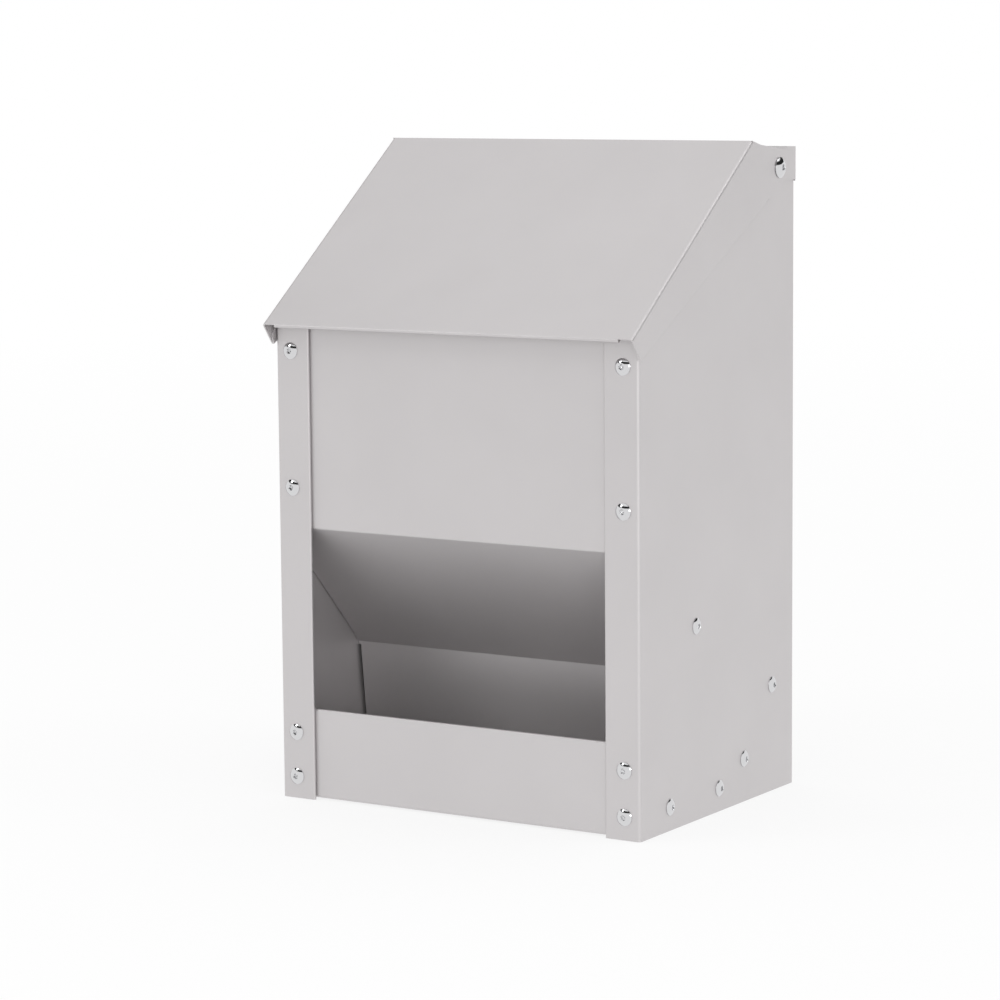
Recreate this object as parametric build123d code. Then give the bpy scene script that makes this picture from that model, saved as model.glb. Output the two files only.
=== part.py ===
from build123d import *
import os
from math import atan2, cos, hypot, radians, sin, sqrt, tan

# Gravity poultry feeder in folded sheet steel, with a lid that pivots on two screws at the rear.
# Millimetres. X runs across, Y from the front to the back, Z up.
# Inside this file Y is 0 on the front flanges. At the end all moves so that the origin is under the centre.

# Sheet and folds
sheet = 1.0
bend_inside = 1.5
open_hem_gap = 0.8
closed_hem_gap = 0.1
hem_strip = 10.0
seat_gap = 0.1
side_gap = 0.2

# Body
body_width = 290.0
body_depth = 220.0
front_height = 341.4
base_clearance = 1.0
front_flange = 27.0
front_hem_strip = 22.0
rear_flange = 22.0

# Hopper front: upright panel, slope and leaning baffle
mouth_top = 192.2
fold_behind_front = 91.4
fold_height = 97.1
baffle_bottom = 38.0
baffle_lean = 6.3
baffle_side_inset = 2.0

# Trough
lip_height = 64.5
floor_length = 137.0
ramp_angle = 47.9
ramp_end_upstand = 12.0

# Side flanges of the trough and of the slope
side_flange = 22.0
side_flange_inset = 9.0
side_flange_corner = 5.0
side_flange_bend = 0.5
flange_screw_height = 15.1
slope_screw_height = 13.3

# Lid
lid_pitch = 36.7
lid_overhang = 12.7
lid_gap = 1.5
lid_rest_gap = 0.3
lid_side_gap = 0.25
lid_rear_inset = 67.4
lid_front_skirt = 19.0
lid_skirt_pitch = 28.6
lid_hem_notch = 10.4
lid_ear_reach = 16.1
lid_ear_top = 11.4
lid_ear_corner = 8.0
lid_ear_heel_corner = 3.0
lid_ear_pitch = 6.6
lid_ear_step = 12.3
lid_hem_end_gap = 2.5

# Back panel, its cap and its two hinge ears
cap_drop = 5.6
cap_cover = 1.0
cap_lip = 8.0
back_side_inset = 2.0
ear_height = 23.0
ear_reach = 17.0
ear_front_corner = 5.0
ear_rear_corner = 2.0
hinge_inset = 27.0
hinge_below_cap = 14.0

# Holes for the wall, in a rectangle on the back panel
wall_hole_radius = 3.25
wall_hole_spacing_x = 200.0
wall_hole_spacing_z = 280.0
wall_hole_below_cap = 47.3

# Panel screws and nuts
screw_radius = 2.4
screw_head_radius = 5.75
screw_head_height = 2.1
screw_head_rim = 0.5
screw_top_radius = 2.6
socket_across = 3.0
socket_depth = 1.4
screw_tip_chamfer = 0.5
screw_past_nut = 1.5
screw_hole_radius = 2.75
nut_across = 8.0
nut_height = 4.0
nut_bore_gap = 0.05

# Hinge screws, washers and lock nuts
hinge_radius = 3.0
hinge_clearance = 0.08
hinge_head_radius = 7.2
hinge_head_height = 2.9
hinge_head_rim = 0.5
hinge_top_radius = 3.2
hinge_head_gap = 0.15
hinge_socket_across = 4.0
hinge_socket_depth = 1.8
washer_radius = 6.0
washer_height = 1.2
lock_nut_across = 10.0
lock_nut_height = 6.0
lock_nut_collar = 1.6
lock_nut_collar_step = 0.6

# Screw places, each from an edge or a fold of the piece that it holds
front_screw_inset = 12.2
hopper_screw_above_mouth = 28.0
hopper_screw_below_top = 25.8
trough_screw_height = 15.6
trough_screw_below_lip = 17.4
slope_screw_from_foot = 38.2
floor_screw_from_front = 40.8
floor_screw_from_ramp = 30.1
ramp_screw_from_floor = 25.8
ramp_screw_from_head = 30.4
upstand_screw_height = 7.0
back_screw_inset = 12.0
back_screws_below_cap = (202.3, 47.3)

# Length of the cutters for holes, on each side of the sheet
cutter_reach = 8.0

# Derived sizes
half_width = body_width / 2
bend_outside = bend_inside + sheet
side_bend_outside = side_flange_bend + sheet
open_hem = 2 * sheet + open_hem_gap
closed_hem = 2 * sheet + closed_hem_gap
panel_front = open_hem + seat_gap
inner_half = half_width - sheet - side_gap
fold_depth = panel_front + fold_behind_front
baffle_foot = fold_depth + (fold_height - baffle_bottom) * tan(radians(baffle_lean))
ramp_start = panel_front + floor_length
ramp_end = body_depth - sheet - seat_gap
ramp_top = base_clearance + (ramp_end - ramp_start) * tan(radians(ramp_angle))
rear_face = body_depth + seat_gap
back_face = rear_face + sheet

pitch = radians(lid_pitch)
lid_plane_front = front_height + (lid_gap + sheet) / cos(pitch)
lid_front = (-lid_overhang, lid_plane_front - lid_overhang * tan(pitch))
lid_rear_y = body_depth - lid_rear_inset
lid_length = (lid_rear_y + lid_overhang) / cos(pitch)
lid_rear = (lid_rear_y, lid_plane_front + lid_rear_y * tan(pitch))
cap_top = lid_rear[1] - cap_drop
hinge_y = body_depth - hinge_inset
hinge_z = cap_top - hinge_below_cap
ear_outside = half_width + seat_gap + sheet
lid_inside = ear_outside + lid_side_gap
lid_half = lid_inside + sheet
front_screw_x = half_width - front_screw_inset
back_screw_x = half_width - back_screw_inset
wall_hole_low = cap_top - wall_hole_below_cap - wall_hole_spacing_z


def unit(start, end):
    """Direction from one point to another, as a pair."""
    length = hypot(end[0] - start[0], end[1] - start[1])
    return ((end[0] - start[0]) / length, (end[1] - start[1]) / length)


def rounded_face(corners):
    """Closed face through corners (u, v, radius), with each corner rounded by its own radius."""
    pieces = []
    count = len(corners)
    for i in range(count):
        u, v, radius = corners[i]
        back = unit((u, v), corners[i - 1])
        ahead = unit((u, v), corners[(i + 1) % count])
        if radius <= 0:
            pieces.append(((u, v), None, (u, v)))
            continue
        half_angle = (atan2(ahead[1], ahead[0]) - atan2(back[1], back[0])) / 2
        reach = radius / abs(tan(half_angle))
        first = (u + back[0] * reach, v + back[1] * reach)
        last = (u + ahead[0] * reach, v + ahead[1] * reach)
        middle_u = back[0] + ahead[0]
        middle_v = back[1] + ahead[1]
        middle_length = hypot(middle_u, middle_v)
        inward = radius / abs(sin(half_angle)) - radius
        middle = (u + middle_u / middle_length * inward, v + middle_v / middle_length * inward)
        pieces.append((first, middle, last))
    edges = []
    for i in range(count):
        first, middle, last = pieces[i]
        if middle is not None:
            edges.append(Edge.make_three_point_arc((*first, 0), (*middle, 0), (*last, 0)))
        following = pieces[(i + 1) % count][0]
        if hypot(following[0] - last[0], following[1] - last[1]) > 1e-4:
            edges.append(Edge.make_line((*last, 0), (*following, 0)))
    return Face(Wire(edges))


def folded_face(path, thickness=sheet):
    """Section of a folded sheet. The path is one face of it, and the sheet lies to its left.

    A path point is (u, v) or (u, v, inside radius of the fold there).
    """
    points = [(p[0], p[1]) for p in path]
    inside = [p[2] if len(p) > 2 else bend_inside for p in path]
    near = []
    far = []
    last = len(points) - 1
    for i in range(len(points)):
        arriving = unit(points[i - 1], points[i]) if i > 0 else unit(points[0], points[1])
        leaving = unit(points[i], points[i + 1]) if i < last else arriving
        normal = (-arriving[1] - leaving[1], arriving[0] + leaving[0])
        length_squared = normal[0] ** 2 + normal[1] ** 2
        shift = 2 * thickness / length_squared
        shifted = (points[i][0] + normal[0] * shift, points[i][1] + normal[1] * shift)
        turns_left = arriving[0] * leaving[1] - arriving[1] * leaving[0] > 0
        near_radius = 0.0
        far_radius = 0.0
        if 0 < i < last:
            near_radius = inside[i] + thickness if turns_left else inside[i]
            far_radius = inside[i] if turns_left else inside[i] + thickness
        near.append((*points[i], near_radius))
        far.append((*shifted, far_radius))
    return rounded_face(near + far[::-1])


def across(face, half):
    """Solid from a face drawn in Y and Z, from minus half to plus half in X."""
    return extrude(Plane.YZ * face, amount=half, both=True)


def slab(face, low_x, high_x):
    """Solid from a face drawn in Y and Z, between two places in X."""
    return extrude(Plane.YZ.offset(low_x) * face, amount=high_x - low_x)


def box(low, high):
    """Box between two corners."""
    size = [high[i] - low[i] for i in range(3)]
    middle = [(high[i] + low[i]) / 2 for i in range(3)]
    return Pos(*middle) * Box(*size)


def mirrored(shape):
    """The shape and its mirror image in X."""
    return [shape, mirror(shape, Plane.YZ)]


def holes(places, axis, radius):
    """Round cutters centred on the places."""
    cutters = []
    for place in places:
        cutters.append(Plane(origin=place, z_dir=axis) * Cylinder(radius, 2 * cutter_reach))
    return cutters


def both_sides(places):
    """Each place, and the same place mirrored in X."""
    return [(sign * x, y, z) for x, y, z in places for sign in (-1, 1)]


def side_tab(start, end, height):
    """A flange turned up along one side of a plate that runs in Y and Z from start to end."""
    direction = unit(start, end)
    normal = (-direction[1], direction[0])
    plane = Plane(origin=(0, *start), x_dir=(1, 0, 0), z_dir=(0, -direction[0], -direction[1]))
    if plane.y_dir.Y * normal[0] + plane.y_dir.Z * normal[1] < 0:
        plane = Plane(origin=(0, *start), x_dir=(1, 0, 0), z_dir=(0, *direction))
    section = folded_face(
        [
            (inner_half - side_bend_outside, 0),
            (inner_half, 0, side_flange_bend),
            (inner_half, height),
        ]
    )
    length = hypot(end[0] - start[0], end[1] - start[1])
    forward = plane.z_dir.Y * direction[0] + plane.z_dir.Z * direction[1] > 0
    tab = extrude(plane * section, amount=length if forward else -length)
    far_line = (start[0] + normal[0] * height, start[1] + normal[1] * height)
    top_edges = []
    for edge in tab.edges().filter_by(Axis.X):
        rise = (edge.center().Y - far_line[0]) * normal[0] + (edge.center().Z - far_line[1]) * normal[1]
        if abs(rise) < 1e-3:
            top_edges.append(edge)
    return fillet(top_edges, side_flange_corner)


def point_along(start, direction, distance, rise=0.0):
    """Point at a distance along a direction in Y and Z, raised to the left of it."""
    return (
        start[0] + direction[0] * distance - direction[1] * rise,
        start[1] + direction[1] * distance + direction[0] * rise,
    )


# Places of the side screws, in Y and Z
slope_top = (panel_front, mouth_top)
slope_foot = (fold_depth, fold_height)
slope_direction = unit(slope_top, slope_foot)
slope_length = hypot(slope_foot[0] - slope_top[0], slope_foot[1] - slope_top[1])
ramp_foot = (ramp_start, base_clearance)
ramp_head = (ramp_end, ramp_top)
ramp_direction = unit(ramp_foot, ramp_head)
ramp_length = hypot(ramp_head[0] - ramp_foot[0], ramp_head[1] - ramp_foot[1])
slope_screw_along = slope_length - slope_screw_from_foot
slope_screws = [point_along(slope_top, slope_direction, slope_screw_along, slope_screw_height)]
floor_screw_depths = (floor_screw_from_front, ramp_start - floor_screw_from_ramp)
floor_screws = [(y, base_clearance + flange_screw_height) for y in floor_screw_depths]
ramp_screws_along = (ramp_screw_from_floor, ramp_length - ramp_screw_from_head)
ramp_screws = [point_along(ramp_foot, ramp_direction, s, flange_screw_height) for s in ramp_screws_along]
hopper_screw_heights = (mouth_top + hopper_screw_above_mouth, front_height - hopper_screw_below_top)
hopper_front_places = [(front_screw_x, 0, z) for z in hopper_screw_heights]
trough_screw_heights = (trough_screw_height, lip_height - trough_screw_below_lip)
trough_front_places = [(front_screw_x, 0, z) for z in trough_screw_heights]
trough_back_places = [(back_screw_x, back_face, ramp_top + upstand_screw_height)]
back_panel_places = [(back_screw_x, back_face, cap_top - drop) for drop in back_screws_below_cap]
back_places = trough_back_places + back_panel_places


def side_panel():
    """Right side wall, with a hemmed front flange, a rear flange and a top cut to the lid's pitch."""
    section = folded_face(
        [
            (half_width - rear_flange, body_depth),
            (half_width, body_depth),
            (half_width, 0),
            (half_width - front_flange, 0, open_hem_gap / 2),
            (half_width - front_flange, open_hem, open_hem_gap / 2),
            (half_width - front_flange + front_hem_strip, open_hem),
        ][::-1]
    )
    wall = extrude(section, amount=cap_top)
    level = cap_top - sheet - seat_gap
    knee = (level - front_height) / tan(pitch)
    outline = rounded_face(
        [
            (-sheet, 0, 0),
            (body_depth, 0, 0),
            (body_depth, level, bend_outside),
            (knee, level, bend_outside),
            (-sheet, front_height - sheet * tan(pitch), 0),
        ]
    )
    wall = wall & slab(outline, 0, half_width + sheet)
    front = hopper_front_places + trough_front_places
    wall -= holes(front, (0, 1, 0), screw_hole_radius)
    sides = [(half_width, y, z) for y, z in slope_screws + floor_screws + ramp_screws]
    wall -= holes(sides, (1, 0, 0), screw_hole_radius)
    wall -= holes([(half_width, hinge_y, hinge_z)], (1, 0, 0), hinge_radius + hinge_clearance)
    wall -= holes(back_places, (0, 1, 0), screw_hole_radius)
    return wall


def hopper_front_panel():
    """Upright front, slope and baffle in one folded sheet, with hems and two side flanges."""
    underside_front = lid_plane_front - sheet / cos(pitch)
    hem_round = open_hem / 2
    hem_middle = panel_front + hem_round
    top = underside_front + hem_middle * tan(pitch) - (hem_round + lid_rest_gap) / cos(pitch) + hem_round
    baffle = unit(slope_foot, (baffle_foot, baffle_bottom))
    foot = (baffle_foot, baffle_bottom)
    heel = point_along(foot, baffle, 0, open_hem)
    strip_end = point_along(foot, baffle, -hem_strip, open_hem)
    section = folded_face(
        [
            (panel_front + open_hem, top - hem_strip),
            (panel_front + open_hem, top, open_hem_gap / 2),
            (panel_front, top, open_hem_gap / 2),
            slope_top,
            slope_foot,
            (*foot, open_hem_gap / 2),
            (*heel, open_hem_gap / 2),
            strip_end,
        ]
    )
    panel = across(section, inner_half)
    tab_start = point_along(slope_top, slope_direction, side_flange_inset)
    tab_end = point_along(slope_top, slope_direction, slope_length - side_flange_inset)
    setback = inner_half - side_bend_outside
    notch = rounded_face(
        [
            (*point_along(tab_start, slope_direction, -side_gap, -sheet), 0),
            (*point_along(tab_end, slope_direction, side_gap, -sheet), 0),
            (*point_along(tab_end, slope_direction, side_gap, 2 * sheet), 0),
            (*point_along(tab_start, slope_direction, -side_gap, 2 * sheet), 0),
        ]
    )
    panel -= mirrored(slab(notch, setback, half_width))
    baffle_margin = box(
        (inner_half - baffle_side_inset, fold_depth - bend_outside, 0),
        (half_width, body_depth, fold_height - bend_outside),
    )
    panel -= mirrored(baffle_margin)
    panel += mirrored(side_tab(tab_start, tab_end, side_flange))
    panel -= holes(both_sides(hopper_front_places), (0, 1, 0), screw_hole_radius)
    sides = [(inner_half, y, z) for y, z in slope_screws]
    panel -= holes(both_sides(sides), (1, 0, 0), screw_hole_radius)
    return panel


def feed_trough():
    """Front lip, floor, ramp and rear upstand in one folded sheet, with turned-up side flanges."""
    section = folded_face(
        [
            (panel_front + open_hem, lip_height - hem_strip),
            (panel_front + open_hem, lip_height, open_hem_gap / 2),
            (panel_front, lip_height, open_hem_gap / 2),
            (panel_front, base_clearance),
            ramp_foot,
            ramp_head,
            (ramp_end, ramp_top + ramp_end_upstand),
        ]
    )
    trough = across(section, inner_half)
    mitre = side_flange * tan(radians(ramp_angle) / 2) + sheet
    floor_start = (panel_front + side_flange_inset, base_clearance)
    floor_end = (ramp_start - mitre, base_clearance)
    ramp_low = point_along(ramp_foot, ramp_direction, mitre)
    ramp_high = point_along(ramp_foot, ramp_direction, ramp_length - mitre)
    setback = inner_half - side_bend_outside
    for start, end in ((floor_start, floor_end), (ramp_low, ramp_high)):
        way = unit(start, end)
        notch = rounded_face(
            [
                (*point_along(start, way, -side_gap, -sheet), 0),
                (*point_along(end, way, side_gap, -sheet), 0),
                (*point_along(end, way, side_gap, 2 * sheet), 0),
                (*point_along(start, way, -side_gap, 2 * sheet), 0),
            ]
        )
        trough -= mirrored(slab(notch, setback, half_width))
        trough += mirrored(side_tab(start, end, side_flange))
    rear_margin = box(
        (half_width - bend_outside - side_gap, body_depth - 2 * bend_outside, 0),
        (half_width, body_depth, ramp_top + ramp_end_upstand + sheet),
    )
    trough -= mirrored(rear_margin)
    trough -= holes(both_sides(trough_front_places), (0, 1, 0), screw_hole_radius)
    sides = [(inner_half, y, z) for y, z in floor_screws + ramp_screws]
    trough -= holes(both_sides(sides), (1, 0, 0), screw_hole_radius)
    trough -= holes(both_sides(trough_back_places), (0, 1, 0), screw_hole_radius)
    return trough


def back_panel():
    """Back sheet with a cap folded forward at the top and two hinge ears outside the side walls."""
    cap_front = lid_rear_y - cap_cover
    section = folded_face(
        [
            (back_face, base_clearance),
            (back_face, cap_top),
            (cap_front, cap_top),
            (cap_front, cap_top - cap_lip),
        ]
    )
    panel = across(section, half_width)
    lip_margin = box(
        (inner_half, cap_front - sheet, cap_top - cap_lip - sheet),
        (half_width + sheet, cap_front + bend_outside, cap_top + sheet),
    )
    low_margin = box(
        (half_width - back_side_inset, body_depth - sheet, 0),
        (half_width + sheet, back_face + sheet, cap_top - ear_height - sheet),
    )
    panel -= mirrored(lip_margin)
    panel -= mirrored(low_margin)
    ear_section = folded_face(
        [
            (ear_outside, hinge_y - ear_reach),
            (ear_outside, back_face),
            (half_width - rear_flange, back_face),
        ]
    )
    ear = Pos(0, 0, cap_top - ear_height) * extrude(ear_section, amount=ear_height)
    ear_low = cap_top - ear_height
    ear_outline = rounded_face(
        [
            (hinge_y - ear_reach, ear_low, ear_front_corner),
            (back_face, ear_low, ear_rear_corner),
            (back_face, cap_top, bend_outside),
            (hinge_y - ear_reach, cap_top, ear_front_corner),
        ]
    )
    ear = ear & slab(ear_outline, 0, ear_outside + sheet)
    panel += mirrored(ear)
    middle_x = wall_hole_spacing_x / 2
    heights = (wall_hole_low, wall_hole_low + wall_hole_spacing_z)
    wall_places = [(middle_x, rear_face, z) for z in heights]
    panel -= holes(both_sides(wall_places), (0, 1, 0), wall_hole_radius)
    panel -= holes(both_sides(back_places), (0, 1, 0), screw_hole_radius)
    pivots = [(ear_outside, hinge_y, hinge_z)]
    panel -= holes(both_sides(pivots), (1, 0, 0), hinge_radius + hinge_clearance)
    return panel


def lid_side():
    """Right side of the lid: the fold, the skirt with its ear, and the hem along the lower edge."""
    along = (cos(pitch), sin(pitch))
    skirt_angle = radians(lid_skirt_pitch)
    edge_way = (cos(skirt_angle), sin(skirt_angle))
    front_low = point_along(lid_front, along, 0, -lid_front_skirt)
    heel_y = hinge_y + lid_ear_reach
    heel = (heel_y, front_low[1] + (heel_y - front_low[0]) * tan(skirt_angle))
    ear_corner = (hinge_y + lid_ear_reach, hinge_z + lid_ear_top)
    step_y = lid_rear_y + lid_ear_step
    step = (step_y, ear_corner[1] + (ear_corner[0] - step_y) * tan(radians(lid_ear_pitch)))
    outline = rounded_face(
        [
            (*lid_front, 0),
            (*front_low, sheet),
            (*heel, lid_ear_heel_corner),
            (*ear_corner, lid_ear_corner),
            (*step, lid_ear_corner),
            (*lid_rear, 0),
        ]
    )
    skirt = slab(outline, lid_inside, lid_half)
    fold_zone = rounded_face(
        [
            (*point_along(lid_front, along, -sheet, sheet), 0),
            (*point_along(lid_front, along, -sheet, -bend_outside), 0),
            (*point_along(lid_front, along, lid_length, -bend_outside), 0),
            (*point_along(lid_front, along, lid_length, sheet), 0),
        ]
    )
    skirt -= slab(fold_zone, 0, lid_half + sheet)
    fold_plane = Plane(origin=(0, *lid_front), x_dir=(1, 0, 0), z_dir=(0, *along))
    upward = fold_plane.y_dir.Y * -along[1] + fold_plane.y_dir.Z * along[0]
    down = -1 if upward > 0 else 1
    fold = folded_face(
        [
            (lid_half, down * bend_outside),
            (lid_half, 0),
            (lid_half - bend_outside, 0),
        ][:: -down]
    )
    skirt += extrude(fold_plane * fold, amount=lid_length)

    # Hem along the lower edge, which ends before the hinge ear of the back panel
    ear_far = hypot(ear_reach, hinge_below_cap)
    to_hinge = (hinge_y - front_low[0]) * edge_way[0] + (hinge_z - front_low[1]) * edge_way[1]
    hem_length = to_hinge - ear_far - lid_hem_end_gap
    hem_zone = rounded_face(
        [
            (*point_along(front_low, edge_way, -sheet, -sheet), 0),
            (*point_along(front_low, edge_way, hem_length, -sheet), 0),
            (*point_along(front_low, edge_way, hem_length, closed_hem), 0),
            (*point_along(front_low, edge_way, -sheet, closed_hem), 0),
        ]
    )
    skirt -= slab(hem_zone, 0, lid_half + sheet)
    hem_plane = Plane(origin=(0, *front_low), x_dir=(1, 0, 0), z_dir=(0, *edge_way))
    rise = hem_plane.y_dir.Y * -edge_way[1] + hem_plane.y_dir.Z * edge_way[0]
    up = 1 if rise > 0 else -1
    hem = folded_face(
        [
            (lid_half - closed_hem, up * hem_strip),
            (lid_half - closed_hem, 0, closed_hem_gap / 2),
            (lid_half, 0, closed_hem_gap / 2),
            (lid_half, up * closed_hem),
        ][::up]
    )
    hem_solid = extrude(hem_plane * hem, amount=hem_length)
    strip_round = hem_strip - closed_hem
    corner = rounded_face(
        [
            (*point_along(front_low, edge_way, -sheet, hem_strip + sheet), 0),
            (*point_along(front_low, edge_way, -sheet, closed_hem / 2), 0),
            (*point_along(front_low, edge_way, 0, closed_hem / 2), 0),
            (*point_along(front_low, edge_way, 0, hem_strip), strip_round),
            (*point_along(front_low, edge_way, strip_round + sheet, hem_strip), 0),
            (*point_along(front_low, edge_way, strip_round + sheet, hem_strip + sheet), 0),
        ]
    )
    hem_solid -= slab(corner, 0, lid_half - sheet - closed_hem_gap / 2)
    inside_outline = slab(outline, 0, lid_half + sheet)
    return skirt + (hem_solid & inside_outline)


def lid():
    """Pitched plate with a front hem and a skirt down each side that carries the pivot holes."""
    along = (cos(pitch), sin(pitch))
    plate_outline = rounded_face(
        [
            (*lid_front, 0),
            (*lid_rear, 0),
            (*point_along(lid_rear, along, 0, -sheet), 0),
            (*point_along(lid_front, along, 0, -sheet), 0),
        ]
    )
    plate = across(plate_outline, lid_half - bend_outside)
    hem_round = open_hem / 2
    front_section = folded_face(
        [
            point_along(lid_front, along, hem_strip, -open_hem),
            (*point_along(lid_front, along, -hem_round, -open_hem), open_hem_gap / 2),
            (*point_along(lid_front, along, -hem_round, 0), open_hem_gap / 2),
            point_along(lid_front, along, hem_round, 0),
        ][::-1]
    )
    plate += across(front_section, lid_half - lid_hem_notch)
    side = lid_side()
    plate += mirrored(side)
    pivots = [(lid_half, hinge_y, hinge_z)]
    plate -= holes(both_sides(pivots), (1, 0, 0), hinge_radius + hinge_clearance)
    return plate


def screw(radius, length, head_radius, head_height, rim, top_radius, socket, depth):
    """Domed socket screw. The underside of its head is at Z 0, and the head is above it."""
    centre = (head_radius**2 - top_radius**2 + rim**2 - head_height**2) / (2 * (rim - head_height))
    dome_radius = hypot(head_radius, rim - centre)
    middle_radius = (head_radius + top_radius) / 2
    dome_middle = (middle_radius, centre + sqrt(dome_radius**2 - middle_radius**2))
    edges = [
        Edge.make_line((0, 0, 0), (head_radius, 0, 0)),
        Edge.make_line((head_radius, 0, 0), (head_radius, rim, 0)),
        Edge.make_three_point_arc((head_radius, rim, 0), (*dome_middle, 0), (top_radius, head_height, 0)),
        Edge.make_line((top_radius, head_height, 0), (0, head_height, 0)),
        Edge.make_line((0, head_height, 0), (0, 0, 0)),
    ]
    head = revolve(Plane.XZ * Face(Wire(edges)), axis=Axis.Z)
    key = extrude(RegularPolygon(socket / 2, 6, major_radius=False), amount=depth)
    head -= Pos(0, 0, head_height - depth) * key
    shank = Pos(0, 0, -length / 2) * Cylinder(radius, length)
    tip = shank.edges().filter_by(GeomType.CIRCLE).sort_by(Axis.Z)[0]
    return head + chamfer(tip, screw_tip_chamfer)


def nut(across_flats, height, bore):
    """Hexagon nut that rises from Z 0."""
    body = extrude(RegularPolygon(across_flats / 2, 6, major_radius=False), amount=height)
    return body - Pos(0, 0, height / 2) * Cylinder(bore, 2 * height)


def lock_nut(across_flats, height, collar, bore):
    """Hexagon nut with a round locking collar, which rises from Z 0."""
    body = extrude(RegularPolygon(across_flats / 2, 6, major_radius=False), amount=height - collar)
    ring_radius = across_flats / 2 - lock_nut_collar_step
    ring = Pos(0, 0, height - collar / 2) * Cylinder(ring_radius, collar)
    return body + ring - Pos(0, 0, height / 2) * Cylinder(bore, 2 * height)


def fasteners(places, outward, grip):
    """Screws with heads on the places, and nuts behind a stack of sheets as thick as the grip."""
    length = grip + nut_height + screw_past_nut
    one_screw = screw(
        screw_radius,
        length,
        screw_head_radius,
        screw_head_height,
        screw_head_rim,
        screw_top_radius,
        socket_across,
        socket_depth,
    )
    one_nut = nut(nut_across, nut_height, screw_radius + nut_bore_gap)
    screws = []
    nuts = []
    for place in places:
        way = outward(place)
        screws.append(Plane(origin=place, z_dir=way) * one_screw)
        start = tuple(place[i] - way[i] * grip for i in range(3))
        inward = tuple(-part for part in way)
        nuts.append(Plane(origin=start, z_dir=inward) * one_nut)
    return screws, nuts


def to_front(place):
    """Outward direction on the front."""
    return (0, -1, 0)


def to_back(place):
    """Outward direction on the back."""
    return (0, 1, 0)


def to_side(place):
    """Outward direction on the side where the place is."""
    return (1 if place[0] > 0 else -1, 0, 0)


def hinge_set():
    """Pivot screws with their washers and lock nuts, on both sides."""
    head_seat = lid_half + hinge_head_gap
    stack = head_seat - (half_width - sheet)
    length = stack + washer_height + lock_nut_height + screw_past_nut
    one_screw = screw(
        hinge_radius,
        length,
        hinge_head_radius,
        hinge_head_height,
        hinge_head_rim,
        hinge_top_radius,
        hinge_socket_across,
        hinge_socket_depth,
    )
    one_washer = Pos(0, 0, washer_height / 2) * (
        Cylinder(washer_radius, washer_height) - Cylinder(hinge_radius + hinge_clearance, 2 * washer_height)
    )
    one_nut = lock_nut(lock_nut_across, lock_nut_height, lock_nut_collar, hinge_radius + nut_bore_gap)
    screws = []
    washers = []
    nuts = []
    for sign in (-1, 1):
        outward = Plane(origin=(sign * head_seat, hinge_y, hinge_z), z_dir=(sign, 0, 0))
        wall_inside = half_width - sheet
        inward = Plane(origin=(sign * wall_inside, hinge_y, hinge_z), z_dir=(-sign, 0, 0))
        screws.append(outward * one_screw)
        washers.append(inward * one_washer)
        nuts.append(inward.offset(washer_height) * one_nut)
    return screws, washers, nuts


side_grip = 2 * sheet + side_gap
front_grip = open_hem + seat_gap + sheet
back_grip = 2 * sheet + seat_gap
trough_back_grip = 3 * sheet + 2 * seat_gap
slope_places = both_sides([(half_width, y, z) for y, z in slope_screws])
floor_places = both_sides([(half_width, y, z) for y, z in floor_screws])
ramp_places = both_sides([(half_width, y, z) for y, z in ramp_screws])

right_side = side_panel()
nodes = {
    "right_side_panel": right_side,
    "left_side_panel": mirror(right_side, Plane.YZ),
    "hopper_front_panel": hopper_front_panel(),
    "feed_trough": feed_trough(),
    "back_panel": back_panel(),
    "lid": lid(),
}

groups = {
    "hopper_front": (both_sides(hopper_front_places), to_front, front_grip),
    "trough_front": (both_sides(trough_front_places), to_front, front_grip),
    "hopper_side": (slope_places, to_side, side_grip),
    "trough_floor": (floor_places, to_side, side_grip),
    "trough_ramp": (ramp_places, to_side, side_grip),
    "back_panel": (both_sides(back_panel_places), to_back, back_grip),
    "trough_back": (both_sides(trough_back_places), to_back, trough_back_grip),
}
for name, (places, outward, grip) in groups.items():
    screws, nuts = fasteners(places, outward, grip)
    nodes[name + "_screws"] = Compound(screws)
    nodes[name + "_nuts"] = Compound(nuts)

hinge_screws, hinge_washers, hinge_nuts = hinge_set()
nodes["hinge_screws"] = Compound(hinge_screws)
nodes["hinge_washers"] = Compound(hinge_washers)
nodes["hinge_lock_nuts"] = Compound(hinge_nuts)

# The origin goes under the middle of the whole feeder, between the lid's front hem and the rear screw heads
lid_nose = lid_front[0] - open_hem / 2 * (1 - sin(pitch))
rear_heads = back_face + screw_head_height
middle_y = (lid_nose + rear_heads) / 2

os.makedirs("parts", exist_ok=True)
for name, shape in nodes.items():
    placed = Pos(0, -middle_y, 0) * shape
    export_step(placed, f"parts/{name}.step")
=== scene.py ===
"""Looks of a gravity poultry feeder in folded sheet steel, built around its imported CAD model.

Lengths are in metres. X runs across, Y from the front to the back, Z up.
"""
import math

import bmesh
import bpy
from mathutils import Matrix, Vector


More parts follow.
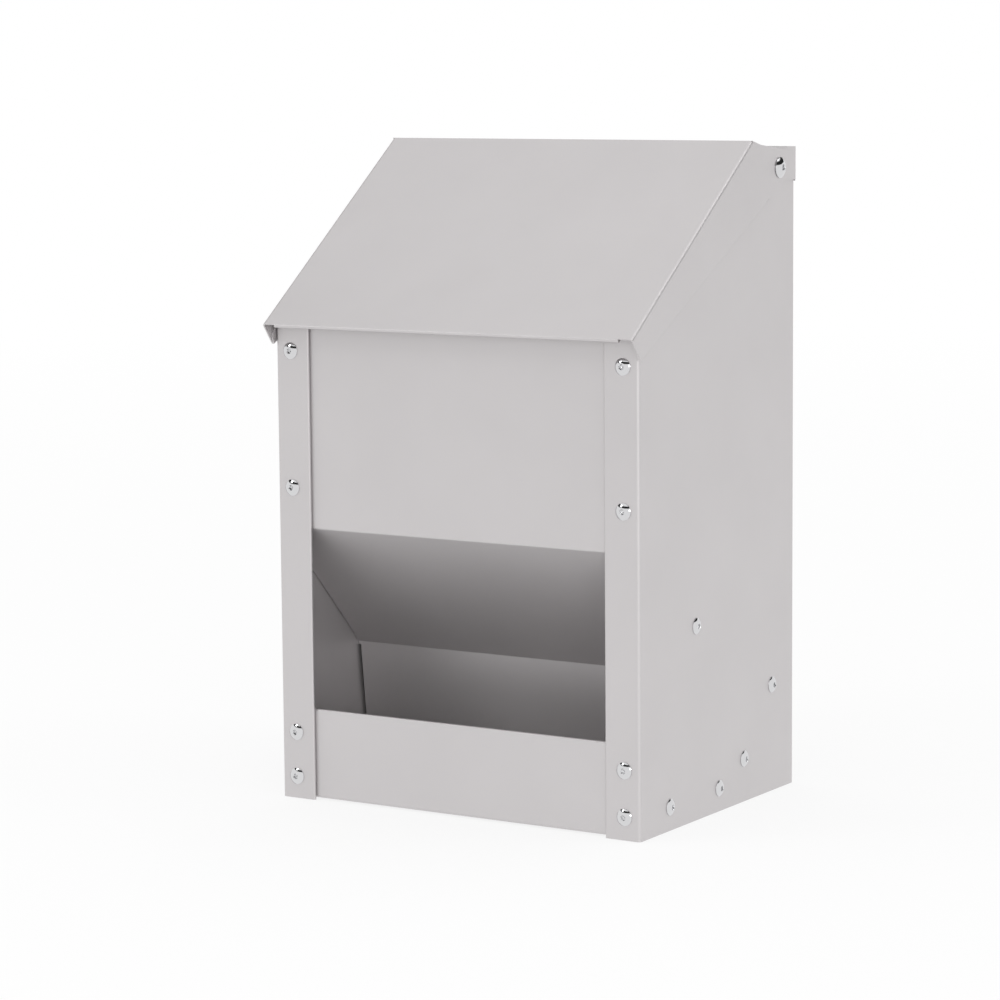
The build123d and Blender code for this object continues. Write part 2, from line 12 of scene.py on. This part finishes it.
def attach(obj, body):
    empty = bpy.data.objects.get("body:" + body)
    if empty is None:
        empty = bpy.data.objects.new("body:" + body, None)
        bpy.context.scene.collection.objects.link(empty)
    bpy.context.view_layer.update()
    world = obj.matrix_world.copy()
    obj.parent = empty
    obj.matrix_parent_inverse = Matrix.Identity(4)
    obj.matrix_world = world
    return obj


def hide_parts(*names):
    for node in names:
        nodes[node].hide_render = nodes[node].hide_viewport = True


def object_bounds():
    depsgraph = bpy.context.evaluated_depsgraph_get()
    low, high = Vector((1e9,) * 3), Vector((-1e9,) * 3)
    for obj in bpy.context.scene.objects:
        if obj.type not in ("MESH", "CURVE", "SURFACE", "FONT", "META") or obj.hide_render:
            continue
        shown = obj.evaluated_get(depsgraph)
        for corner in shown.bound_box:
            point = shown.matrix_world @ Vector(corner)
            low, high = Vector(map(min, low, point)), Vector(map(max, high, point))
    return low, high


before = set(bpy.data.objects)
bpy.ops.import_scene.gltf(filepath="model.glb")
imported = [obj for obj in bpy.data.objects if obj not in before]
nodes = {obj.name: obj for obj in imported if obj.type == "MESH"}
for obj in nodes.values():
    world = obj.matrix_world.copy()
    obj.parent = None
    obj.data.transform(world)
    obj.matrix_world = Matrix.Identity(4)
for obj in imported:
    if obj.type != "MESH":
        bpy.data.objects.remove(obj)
cad_low, cad_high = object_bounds()
MM = 0.001

# Camera, at the photograph's place
CAMERA_PLACE = (1.26324, -2.059155, 0.52539)
CAMERA_AZIMUTH = 32.0972
CAMERA_DOWN = 7.4896
CAMERA_ROLL = -0.4831
CAMERA_LENS = 124.98
CAMERA_SENSOR = 36.0

# Fasteners
SEGMENTS = 48
SCREW_HEAD_HEIGHT = 2.1 * MM
HINGE_HEAD_HEIGHT = 2.9 * MM
SCREW_THREAD_PITCH = 0.8 * MM
HINGE_THREAD_PITCH = 1.0 * MM
SHANK_SHARE = 0.417
SOCKET_SHARE = 0.53
SOCKET_DEPTH_SHARE = 0.66
NUT_BORE_SHARE = 0.61
LOCK_NUT_BORE_SHARE = 0.61
COLLAR_SHARE = 0.27
WASHER_BORE_SHARE = 0.51

# Colours, as linear values
SHEET_TONE = (0.59, 0.57, 0.574)
SHEET_METALLIC = 0.7
SHEET_ROUGHNESS = (0.445, 0.455)
PLATING_ROUGHNESS = (0.05, 0.09)
PLATING_TONE = (0.66, 0.66, 0.67)
FLOOR_TONE = 0.85

# Stage
FLOOR_RADIUS = 12.0
FLOOR_WHITE_SHARE = 0.8
FLOOR_FADE_START = 0.3
FLOOR_FADE_END = 4.0
CURTAIN_RADIUS = 1.5
CURTAIN_LOW = 0.85
CURTAIN_HIGH = 1.5
CURTAIN_TONE = 0.03
CURTAIN_SEGMENTS = 64
WORLD_LAMP = 1.0
# Each lamp's name, place, target, size across and power in watts. They are weak, and light the
# bends and hems that face them.
LAMPS = (
    ("by_camera", (1.8, -1.8, 0.6), (0, 0, 0.25), 0.6, 8.0),
    ("right_high", (1.4, 0.4, 2.2), (0, 0, 0.35), 0.7, 3.6),
    ("front_left_high", (-0.85, -1.0, 1.2), (0, 0, 0.3), 0.45, 2.4),
)

SHEET_NODES = (
    "right_side_panel",
    "left_side_panel",
    "hopper_front_panel",
    "feed_trough",
    "back_panel",
    "lid",
)
# Which way the heads of each group face. OUT is away from the middle in X, and IN is towards it.
OUT = "out"
IN = "in"
FRONT = (0, -1, 0)
BACK = (0, 1, 0)
HEADS_FACE = {
    "hopper_front": FRONT,
    "trough_front": FRONT,
    "hopper_side": OUT,
    "trough_floor": OUT,
    "trough_ramp": OUT,
    "back_panel": BACK,
    "trough_back": BACK,
}
OPPOSITE = {OUT: IN, IN: OUT, FRONT: BACK, BACK: FRONT}
SPINS = (7, 23, 41, 55)


# Materials

def new_material(name):
    """An empty node material with a Principled shader, and the shader."""
    material = bpy.data.materials.new(name)
    material.use_nodes = True
    shader = material.node_tree.nodes["Principled BSDF"]
    return material, shader


def add_node(material, kind, **values):
    """A node of that kind, with its properties set."""
    made = material.node_tree.nodes.new(kind)
    for name, value in values.items():
        setattr(made, name, value)
    return made


def link(material, source, target):
    """Joins an output socket to an input socket."""
    material.node_tree.links.new(source, target)


def noise(material, scale, detail=2.0, roughness=0.5):
    """Noise over the piece in metres, as a 0 to 1 output."""
    coordinates = add_node(material, "ShaderNodeTexCoord")
    texture = add_node(material, "ShaderNodeTexNoise")
    texture.inputs["Scale"].default_value = scale
    texture.inputs["Detail"].default_value = detail
    texture.inputs["Roughness"].default_value = roughness
    link(material, coordinates.outputs["Object"], texture.inputs["Vector"])
    return texture.outputs["Fac"]


def spread(material, source, low, high, start=0.3, end=0.7):
    """Maps a 0 to 1 value to a range."""
    remap = add_node(material, "ShaderNodeMapRange")
    remap.inputs["From Min"].default_value = start
    remap.inputs["From Max"].default_value = end
    remap.inputs["To Min"].default_value = low
    remap.inputs["To Max"].default_value = high
    link(material, source, remap.inputs["Value"])
    return remap.outputs["Result"]


def two_colours(material, source, first, second):
    """A colour between two, by a 0 to 1 value."""
    ramp = add_node(material, "ShaderNodeValToRGB")
    ramp.color_ramp.elements[0].position = 0.3
    ramp.color_ramp.elements[1].position = 0.7
    ramp.color_ramp.elements[0].color = (*first, 1)
    ramp.color_ramp.elements[1].color = (*second, 1)
    link(material, source, ramp.inputs["Fac"])
    return ramp.outputs["Color"]


def galvanised_sheet(name, tone):
    """Satin galvanised sheet: cloudy in tone and gloss, with a fine rolled grain."""
    material, shader = new_material(name)
    shader.inputs["Metallic"].default_value = SHEET_METALLIC
    clouds = noise(material, 14.0, detail=4.0)
    dark = tuple(value * 0.985 for value in tone)
    light = tuple(min(value * 1.015, 1.0) for value in tone)
    link(material, two_colours(material, clouds, dark, light), shader.inputs["Base Color"])
    patches = noise(material, 60.0, detail=3.0)
    link(material, spread(material, patches, *SHEET_ROUGHNESS), shader.inputs["Roughness"])
    grain = noise(material, 2600.0, detail=2.0, roughness=0.6)
    bump = add_node(material, "ShaderNodeBump")
    bump.inputs["Strength"].default_value = 0.05
    bump.inputs["Distance"].default_value = 0.0001
    link(material, grain, bump.inputs["Height"])
    link(material, bump.outputs["Normal"], shader.inputs["Normal"])
    return material


def bright_plating(name, tone):
    """Bright plated steel, with faint patches in its gloss."""
    material, shader = new_material(name)
    shader.inputs["Metallic"].default_value = 1.0
    shader.inputs["Base Color"].default_value = (*tone, 1)
    patches = noise(material, 900.0, detail=3.0)
    link(material, spread(material, patches, *PLATING_ROUGHNESS), shader.inputs["Roughness"])
    fine = noise(material, 5200.0, detail=2.0)
    bump = add_node(material, "ShaderNodeBump")
    bump.inputs["Strength"].default_value = 0.06
    bump.inputs["Distance"].default_value = 0.00005
    link(material, fine, bump.inputs["Height"])
    link(material, bump.outputs["Normal"], shader.inputs["Normal"])
    return material


def nylon(name):
    """Matt off-white nylon of the lock nuts' inserts."""
    material, shader = new_material(name)
    tone = noise(material, 400.0)
    colour = two_colours(material, tone, (0.70, 0.70, 0.66), (0.76, 0.76, 0.72))
    link(material, colour, shader.inputs["Base Color"])
    shader.inputs["Roughness"].default_value = 0.45
    return material


# Meshes made of rings, each with the same number of points

def circle(radius, height):
    """A level ring as a list of points."""
    ring = []
    for i in range(SEGMENTS):
        angle = 2 * math.pi * i / SEGMENTS
        ring.append((radius * math.cos(angle), radius * math.sin(angle), height))
    return ring


def hexagon_reach(across, angle):
    """Distance from the middle of a hexagon to its side, along an angle."""
    from_middle_of_side = (angle % (math.pi / 3)) - math.pi / 6
    return across / 2 / math.cos(from_middle_of_side)


def hexagon(across, height):
    """A level hexagonal ring."""
    ring = []
    for i in range(SEGMENTS):
        angle = 2 * math.pi * i / SEGMENTS
        reach = hexagon_reach(across, angle)
        ring.append((reach * math.cos(angle), reach * math.sin(angle), height))
    return ring


def chamfered_hexagon(across, round_radius, height, slope):
    """A hexagonal ring whose corners dip or rise as a turned chamfer cuts them."""
    ring = []
    for i in range(SEGMENTS):
        angle = 2 * math.pi * i / SEGMENTS
        reach = hexagon_reach(across, angle)
        shift = (reach - round_radius) * slope
        ring.append((reach * math.cos(angle), reach * math.sin(angle), height + shift))
    return ring


def skin(bm, rings, close_start=False, close_end=False):
    """Joins rings into a surface, and closes its ends with a fan if asked."""
    rows = [[bm.verts.new(point) for point in ring] for ring in rings]
    for lower, upper in zip(rows, rows[1:]):
        for i in range(SEGMENTS):
            j = (i + 1) % SEGMENTS
            bm.faces.new((lower[i], lower[j], upper[j], upper[i]))
    if close_start:
        middle = bm.verts.new((0, 0, rings[0][0][2]))
        for i in range(SEGMENTS):
            bm.faces.new((rows[0][(i + 1) % SEGMENTS], rows[0][i], middle))
    if close_end:
        middle = bm.verts.new((0, 0, rings[-1][0][2]))
        for i in range(SEGMENTS):
            bm.faces.new((rows[-1][i], rows[-1][(i + 1) % SEGMENTS], middle))


def screw_head(bm, radius, height, socket, depth):
    """Domed head from Z 0 up, with a rounded rim and a hexagon socket."""
    rim = height * 0.2
    flat = radius * 0.46
    edge = 0.06 * height
    rings = [circle(radius * 0.5, 0), circle(radius - edge, 0), circle(radius, edge), circle(radius, rim)]
    centre = (radius**2 - flat**2 + rim**2 - height**2) / (2 * (rim - height))
    dome = math.hypot(radius, rim - centre)
    steps = 12
    for i in range(1, steps + 1):
        reach = radius + (flat - radius) * i / steps
        rings.append(circle(reach, centre + math.sqrt(dome**2 - reach**2)))
    mouth = socket / 2 / math.cos(math.pi / 6)
    rings.append(circle(mouth * 1.1, height))
    rings.append(hexagon(socket, height - 0.14 * socket))
    rings.append(hexagon(socket, height - depth))
    rings.append(circle(socket * 0.3, height - depth))
    rings.append(circle(socket * 0.02, height - depth - 0.2 * socket))
    skin(bm, rings, close_end=True)


def thread(bm, radius, length, pitch):
    """Threaded shank down from Z 0, with a chamfered end."""
    per_turn = 6
    depth = 0.55 * pitch
    count = int(length / pitch * per_turn)
    taper = 0.6 * pitch
    rings = []
    for k in range(count + 1):
        height = -length * k / count
        ring = []
        left = length + height
        end_cut = max(0.0, taper - left) * 0.8
        for i in range(SEGMENTS):
            turn = i / SEGMENTS
            phase = (height / pitch + turn) % 1.0
            ridge = 1 - abs(2 * phase - 1)
            reach = min(radius - depth + depth * min(1.0, 1.25 * ridge), radius - end_cut)
            angle = 2 * math.pi * turn
            ring.append((reach * math.cos(angle), reach * math.sin(angle), height))
        rings.append(ring)
    skin(bm, rings[::-1], close_start=True)


def nut_body(bm, across, height, bore, collar=0.0):
    """Hexagon nut from Z 0 up, with turned corners, and a rounded collar if asked."""
    round_radius = across / 2 * 0.97
    slope = math.tan(math.radians(28))
    hex_top = height - collar
    rings = [
        circle(bore, height * 0.5),
        circle(bore, bore * 0.12),
        circle(bore * 1.12, 0),
        circle(round_radius, 0),
        chamfered_hexagon(across, round_radius, 0, slope),
        chamfered_hexagon(across, round_radius, hex_top, -slope),
        circle(round_radius, hex_top),
    ]
    if collar:
        ring_radius = across / 2 * 0.88
        rings.append(circle(ring_radius, hex_top + collar * 0.05))
        rings.append(circle(ring_radius, hex_top + collar * 0.6))
        rings.append(circle(ring_radius * 0.96, hex_top + collar * 0.88))
        rings.append(circle(ring_radius * 0.86, height))
        rings.append(circle(bore * 1.22, height))
        rings.append(circle(bore * 1.2, height * 0.5))
    else:
        rings.append(circle(bore * 1.12, height))
        rings.append(circle(bore, height - bore * 0.12))
        rings.append(circle(bore, height * 0.5))
    skin(bm, rings)


def insert_ring(bm, outer, inner, low, high):
    """Nylon ring of a lock nut, slightly sunk in its collar."""
    edge = (outer - inner) * 0.15
    rings = [
        circle(inner, low),
        circle(outer, low),
        circle(outer, high - edge),
        circle(outer - edge, high),
        circle(inner + edge, high),
        circle(inner, high - edge),
        circle(inner, low),
    ]
    skin(bm, rings)


def washer_body(bm, outer, inner, height):
    """Flat washer from Z 0 up, with its stamped edges rounded."""
    edge = height * 0.18
    rings = [
        circle(inner, edge),
        circle(inner + edge, 0),
        circle(outer - edge, 0),
        circle(outer, edge),
        circle(outer, height - edge),
        circle(outer - edge, height),
        circle(inner + edge, height),
        circle(inner, height - edge),
        circle(inner, edge),
    ]
    skin(bm, rings)


# Placing the fasteners on the CAD's own solids

def loose_parts(node):
    """The lowest and highest corner of each separate solid of a CAD node."""
    mesh = nodes[node].data
    bm = bmesh.new()
    bm.from_mesh(mesh)
    bmesh.ops.remove_doubles(bm, verts=bm.verts, dist=1e-6)
    left = set(bm.verts)
    boxes = []
    while left:
        stack = [left.pop()]
        found = []
        while stack:
            vertex = stack.pop()
            found.append(vertex.co.copy())
            for edge in vertex.link_edges:
                other = edge.other_vert(vertex)
                if other in left:
                    left.remove(other)
                    stack.append(other)
        low = Vector([min(point[i] for point in found) for i in range(3)])
        high = Vector([max(point[i] for point in found) for i in range(3)])
        boxes.append((low, high))
    bm.free()
    return sorted(boxes, key=lambda pair: tuple(round(value, 4) for value in pair[0]))


def facing(place, way, spin=0.0):
    """A matrix that puts Z 0 at a place with Z up along a direction."""
    turned = Vector(way).to_track_quat("Z", "Y").to_matrix().to_4x4()
    return Matrix.Translation(place) @ turned @ Matrix.Rotation(spin, 4, "Z")


def outer_side(low, high, way):
    """The middle of a box's side that faces a direction."""
    middle = (low + high) / 2
    axis = max(range(3), key=lambda i: abs(way[i]))
    middle[axis] = high[axis] if way[axis] > 0 else low[axis]
    return middle


def extent(low, high, way, along):
    """Size of a box along a direction, or across it."""
    axis = max(range(3), key=lambda i: abs(way[i]))
    size = high - low
    if along:
        return size[axis]
    return max(size[i] for i in range(3) if i != axis)


def direction_of(low, high, way):
    """A group's direction as a vector, for the solid in that box."""
    if way not in (OUT, IN):
        return Vector(way)
    outward = 1 if low.x + high.x > 0 else -1
    return Vector((outward if way == OUT else -outward, 0, 0))


def place_parts(node, way, make):
    """One mesh with a made part on each solid of a node, each turned by a different angle."""
    whole = bmesh.new()
    for number, (low, high) in enumerate(loose_parts(node)):
        direction = direction_of(low, high, way)
        part = bmesh.new()
        seat = make(part, low, high, direction)
        spin = math.radians(SPINS[number % len(SPINS)])
        bmesh.ops.transform(part, matrix=facing(seat, direction, spin), verts=part.verts)
        scratch = bpy.data.meshes.new("scratch")
        part.to_mesh(scratch)
        part.free()
        whole.from_mesh(scratch)
        bpy.data.meshes.remove(scratch)
    return whole


def finish_piece(name, bm, material, node=None):
    """Turns ring meshes into a piece on the housing, which may stand for a CAD node."""
    bmesh.ops.recalc_face_normals(bm, faces=bm.faces)
    mesh = bpy.data.meshes.new(name)
    bm.to_mesh(mesh)
    bm.free()
    mesh.materials.append(material)
    mesh.shade_smooth()
    mesh.set_sharp_from_angle(angle=math.radians(35))
    piece = bpy.data.objects.new(name, mesh)
    bpy.context.scene.collection.objects.link(piece)
    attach(piece, "housing")
    if node is not None:
        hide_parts(node)
    return piece


def make_screws(node, way, head_height, pitch, material):
    """Domed socket screws in the place of a node's solids."""
    def one(part, low, high, direction):
        radius = extent(low, high, direction, along=False) / 2
        length = extent(low, high, direction, along=True) - head_height
        screw_head(part, radius, head_height, radius * SOCKET_SHARE, head_height * SOCKET_DEPTH_SHARE)
        thread(part, radius * SHANK_SHARE, length, pitch)
        return outer_side(low, high, direction) - direction * head_height

    finish_piece(node + "_turned", place_parts(node, way, one), material, node)


def make_nuts(node, way, material):
    """Hexagon nuts in the place of a node's solids. They rise along the direction."""
    def one(part, low, high, direction):
        height = extent(low, high, direction, along=True)
        across = extent(low, high, direction, along=False) * math.cos(math.pi / 6)
        nut_body(part, across, height, across / 2 * NUT_BORE_SHARE)
        return outer_side(low, high, -direction)

    finish_piece(node + "_turned", place_parts(node, way, one), material, node)


def make_washers(node, way, material):
    """Washers in the place of a node's solids."""
    def one(part, low, high, direction):
        outer = extent(low, high, direction, along=False) / 2
        height = extent(low, high, direction, along=True)
        washer_body(part, outer, outer * WASHER_BORE_SHARE, height)
        return outer_side(low, high, -direction)

    finish_piece(node + "_turned", place_parts(node, way, one), material, node)


def make_lock_nuts(node, way, material, insert_material):
    """Lock nuts in the place of a node's solids, and their nylon inserts."""
    def body(part, low, high, direction):
        height = extent(low, high, direction, along=True)
        across = extent(low, high, direction, along=False) * math.cos(math.pi / 6)
        nut_body(part, across, height, across / 2 * LOCK_NUT_BORE_SHARE, height * COLLAR_SHARE)
        return outer_side(low, high, -direction)

    def insert(part, low, high, direction):
        height = extent(low, high, direction, along=True)
        bore = extent(low, high, direction, along=False) * math.cos(math.pi / 6) / 2 * LOCK_NUT_BORE_SHARE
        insert_ring(part, bore * 1.19, bore * 1.02, height * 0.55, height * 0.97)
        return outer_side(low, high, -direction)

    finish_piece(node + "_turned", place_parts(node, way, body), material, node)
    finish_piece(node + "_inserts", place_parts(node, way, insert), insert_material)


# Stage: floor, curtain, world, lamps and camera

def math_node(tree, operation, first, second):
    """The result of a sum on two values, each an output socket or a number."""
    made = tree.nodes.new("ShaderNodeMath")
    made.operation = operation
    for place, value in enumerate((first, second)):
        if isinstance(value, (int, float)):
            made.inputs[place].default_value = value
        else:
            tree.links.new(value, made.inputs[place])
    return made.outputs[0]


def floor_material():
    """Pale floor that shows as white, keeps a soft shadow, and fades into the backdrop far away."""
    material = bpy.data.materials.new("pale_floor")
    material.use_nodes = True
    tree = material.node_tree
    tree.nodes.clear()
    output = add_node(material, "ShaderNodeOutputMaterial")
    mix = add_node(material, "ShaderNodeMixShader")
    matt = add_node(material, "ShaderNodeBsdfDiffuse")
    matt.inputs["Color"].default_value = (FLOOR_TONE, FLOOR_TONE, FLOOR_TONE, 1)
    white = add_node(material, "ShaderNodeEmission")
    white.inputs["Color"].default_value = (1, 1, 1, 1)
    coordinates = add_node(material, "ShaderNodeTexCoord")
    length = add_node(material, "ShaderNodeVectorMath", operation="LENGTH")
    link(material, coordinates.outputs["Object"], length.inputs[0])
    distance = length.outputs["Value"]
    whiteness = spread(material, distance, FLOOR_WHITE_SHARE, 1.0, FLOOR_FADE_START, FLOOR_FADE_END)
    path = add_node(material, "ShaderNodeLightPath")
    direct = math_node(tree, "MULTIPLY", path.outputs["Is Camera Ray"], whiteness)
    reflected = math_node(tree, "MAXIMUM", path.outputs["Is Glossy Ray"], path.outputs["Is Transmission Ray"])
    link(material, math_node(tree, "MAXIMUM", direct, reflected), mix.inputs[0])
    link(material, matt.outputs[0], mix.inputs[1])
    link(material, white.outputs[0], mix.inputs[2])
    link(material, mix.outputs[0], output.inputs["Surface"])
    return material


def make_floor():
    """A wide flat floor just under the feeder."""
    bm = bmesh.new()
    bmesh.ops.create_circle(bm, cap_ends=True, segments=96, radius=FLOOR_RADIUS)
    mesh = bpy.data.meshes.new("floor")
    bm.to_mesh(mesh)
    bm.free()
    mesh.materials.append(floor_material())
    floor = bpy.data.objects.new("floor", mesh)
    floor.location = (0, 0, cad_low.z - 0.0003)
    bpy.context.scene.collection.objects.link(floor)


def make_curtain():
    """A dark curtain hung round the set above the feeder, which only reflections show."""
    material, shader = new_material("dark_curtain")
    shader.inputs["Base Color"].default_value = (CURTAIN_TONE, CURTAIN_TONE, CURTAIN_TONE, 1)
    shader.inputs["Roughness"].default_value = 1.0
    shader.inputs["Specular IOR Level"].default_value = 0.0
    bm = bmesh.new()
    low = []
    high = []
    for i in range(CURTAIN_SEGMENTS):
        angle = 2 * math.pi * i / CURTAIN_SEGMENTS
        place = (CURTAIN_RADIUS * math.cos(angle), CURTAIN_RADIUS * math.sin(angle))
        low.append(bm.verts.new((*place, cad_low.z + CURTAIN_LOW)))
        high.append(bm.verts.new((*place, cad_low.z + CURTAIN_HIGH)))
    for i in range(CURTAIN_SEGMENTS):
        j = (i + 1) % CURTAIN_SEGMENTS
        bm.faces.new((low[i], low[j], high[j], high[i]))
    mesh = bpy.data.meshes.new("curtain")
    bm.to_mesh(mesh)
    bm.free()
    mesh.materials.append(material)
    curtain = bpy.data.objects.new("curtain", mesh)
    curtain.visible_camera = False
    curtain.visible_diffuse = False
    curtain.visible_shadow = False
    bpy.context.scene.collection.objects.link(curtain)


def make_world():
    """White surroundings, which are also the main light."""
    world = bpy.data.worlds.new("studio")
    world.use_nodes = True
    tree = world.node_tree
    tree.nodes.clear()
    output = tree.nodes.new("ShaderNodeOutputWorld")
    mix = tree.nodes.new("ShaderNodeMixShader")
    lamp = tree.nodes.new("ShaderNodeBackground")
    lamp.inputs["Color"].default_value = (1, 1, 1, 1)
    lamp.inputs["Strength"].default_value = WORLD_LAMP
    white = tree.nodes.new("ShaderNodeBackground")
    white.inputs["Color"].default_value = (1, 1, 1, 1)
    white.inputs["Strength"].default_value = 1.0
    path = tree.nodes.new("ShaderNodeLightPath")
    reflected = math_node(tree, "MAXIMUM", path.outputs["Is Glossy Ray"], path.outputs["Is Transmission Ray"])
    tree.links.new(math_node(tree, "MAXIMUM", path.outputs["Is Camera Ray"], reflected), mix.inputs[0])
    tree.links.new(lamp.outputs[0], mix.inputs[1])
    tree.links.new(white.outputs[0], mix.inputs[2])
    tree.links.new(mix.outputs[0], output.inputs["Surface"])
    bpy.context.scene.world = world


def area_lamp(name, place, target, size, power):
    """A square soft lamp at a place, turned to a target, which the camera doesn't see."""
    lamp = bpy.data.lights.new(name, "AREA")
    lamp.energy = power
    lamp.size = size
    made = bpy.data.objects.new(name, lamp)
    made.location = place
    made.rotation_mode = "QUATERNION"
    made.rotation_quaternion = (Vector(target) - Vector(place)).to_track_quat("-Z", "Y")
    made.visible_camera = False
    bpy.context.scene.collection.objects.link(made)


def make_camera():
    """The camera at the photograph's place and angle."""
    data = bpy.data.cameras.new("camera")
    data.sensor_width = CAMERA_SENSOR
    data.lens = CAMERA_LENS
    data.clip_start = 0.05
    data.clip_end = 60.0
    camera = bpy.data.objects.new("camera", data)
    turn = Matrix.Rotation(math.radians(CAMERA_AZIMUTH), 4, "Z")
    tilt = Matrix.Rotation(math.radians(90 - CAMERA_DOWN), 4, "X")
    roll = Matrix.Rotation(math.radians(CAMERA_ROLL), 4, "Z")
    camera.matrix_world = Matrix.Translation(CAMERA_PLACE) @ turn @ tilt @ roll
    bpy.context.scene.collection.objects.link(camera)
    bpy.context.scene.camera = camera


# The object

steel = galvanised_sheet("galvanised_sheet", SHEET_TONE)
for name in SHEET_NODES:
    mesh = nodes[name].data
    mesh.materials.clear()
    mesh.materials.append(steel)

plating = bright_plating("bright_plating", PLATING_TONE)
for group, way in HEADS_FACE.items():
    make_screws(group + "_screws", way, SCREW_HEAD_HEIGHT, SCREW_THREAD_PITCH, plating)
    make_nuts(group + "_nuts", OPPOSITE[way], plating)
make_screws("hinge_screws", OUT, HINGE_HEAD_HEIGHT, HINGE_THREAD_PITCH, plating)
make_washers("hinge_washers", IN, plating)
make_lock_nuts("hinge_lock_nuts", IN, plating, nylon("nylon"))

# The stage

make_floor()
make_curtain()
make_world()
for lamp in LAMPS:
    area_lamp(*lamp)
make_camera()
bpy.context.scene.view_settings.view_transform = "Standard"
